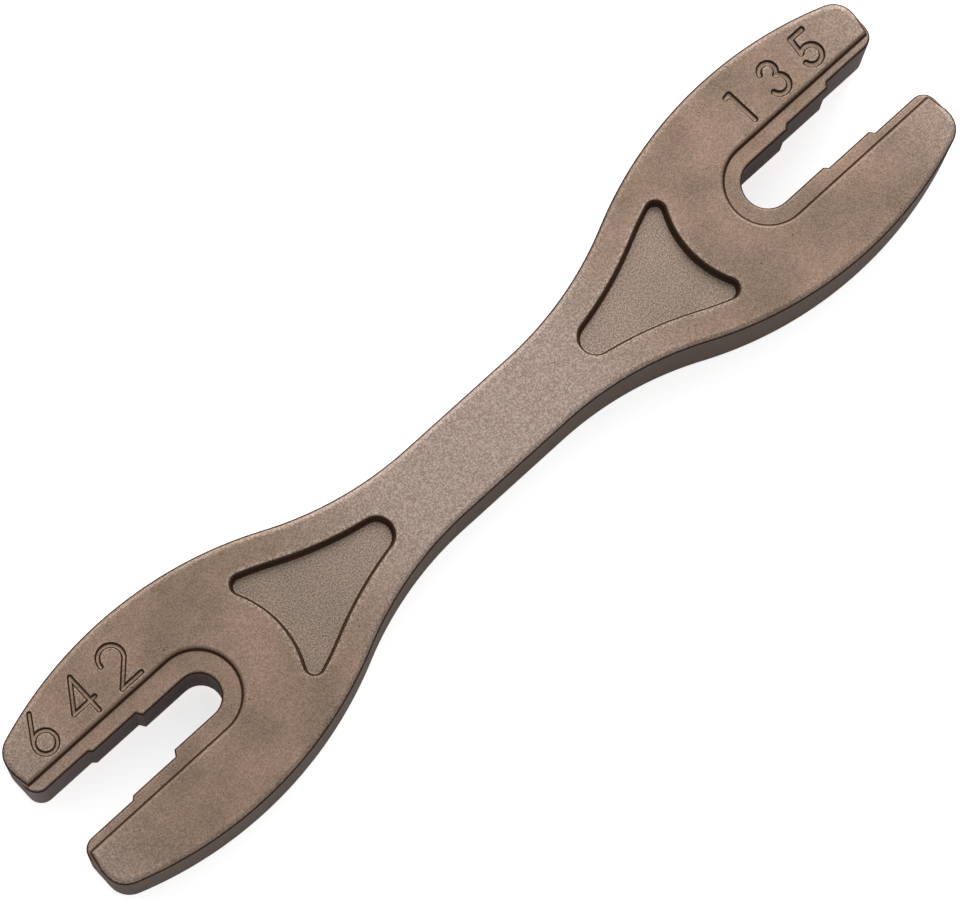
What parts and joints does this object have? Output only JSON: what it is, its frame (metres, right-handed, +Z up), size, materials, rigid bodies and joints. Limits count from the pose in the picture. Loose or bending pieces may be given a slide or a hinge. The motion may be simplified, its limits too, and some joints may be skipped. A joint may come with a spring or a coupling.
{
  "type": "spoke wrench",
  "caption": "Flat spoke wrench with a stepped open slot in each head that grips spoke nipples by their flats.",
  "frame": {"origin": "under the middle of the wrench, on its underside", "axes": "+X along the wrench towards the head with gaps 1, 3 and 5; +Y across it towards the jaws that carry the digits; +Z up out of the face with the digits"},
  "size_m": [0.1128, 0.0238, 0.0095],
  "materials": {
    "bare_steel": "dull, finely pitted, tumbled bare steel"
  },
  "bodies": {
    "root": {"wrench_body": "bare_steel"}
  },
  "joints": []
}
